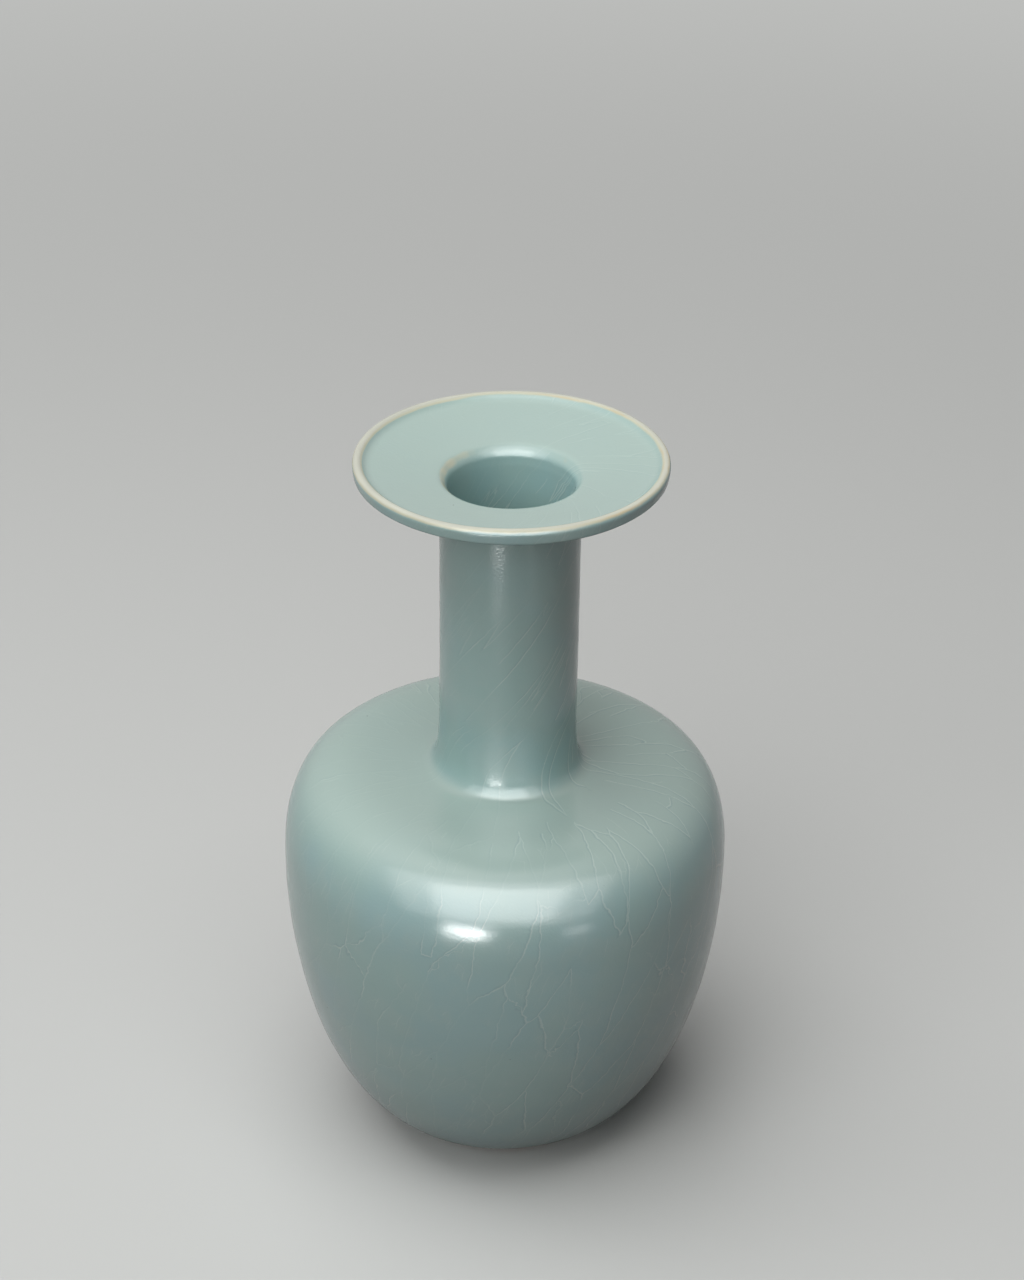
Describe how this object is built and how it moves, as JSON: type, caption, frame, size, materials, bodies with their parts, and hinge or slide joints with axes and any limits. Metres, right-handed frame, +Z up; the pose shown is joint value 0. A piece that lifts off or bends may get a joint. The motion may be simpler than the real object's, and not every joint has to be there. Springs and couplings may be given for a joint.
{
  "type": "dish-mouth vase",
  "caption": "Free-standing celadon vase: round body, long straight neck and wide dish-shaped mouth, luted from thrown sections under a thick crackled blue-green glaze",
  "frame": {"origin": "centre of the foot ring, on the plane that the vase stands on", "axes": "+Z up along the axis of the vase; X and Y are alike because the vase is round"},
  "size_m": [0.136, 0.136, 0.23],
  "materials": {
    "glaze": "thick satin-glossy blue-green celadon glaze with a fine crackle",
    "lip_glaze": "thin drained glaze over the lip, cream to ochre",
    "clay": "fired pale brown stoneware under the glaze",
    "slip": "fine fired slip in the luted joints",
    "bare_foot": "bare iron-brown burnt clay on the foot ring"
  },
  "bodies": {
    "root": {"foot_ring": "bare_foot", "foot_slip": "slip", "lower_body": "clay", "body_slip": "slip", "upper_body": "clay", "neck_slip": "slip", "neck": "clay", "mouth_slip": "slip", "dish_mouth": "clay", "outer_glaze": "glaze", "lip_glaze": "lip_glaze", "inner_glaze": "glaze", "base_glaze": "glaze"}
  },
  "joints": []
}
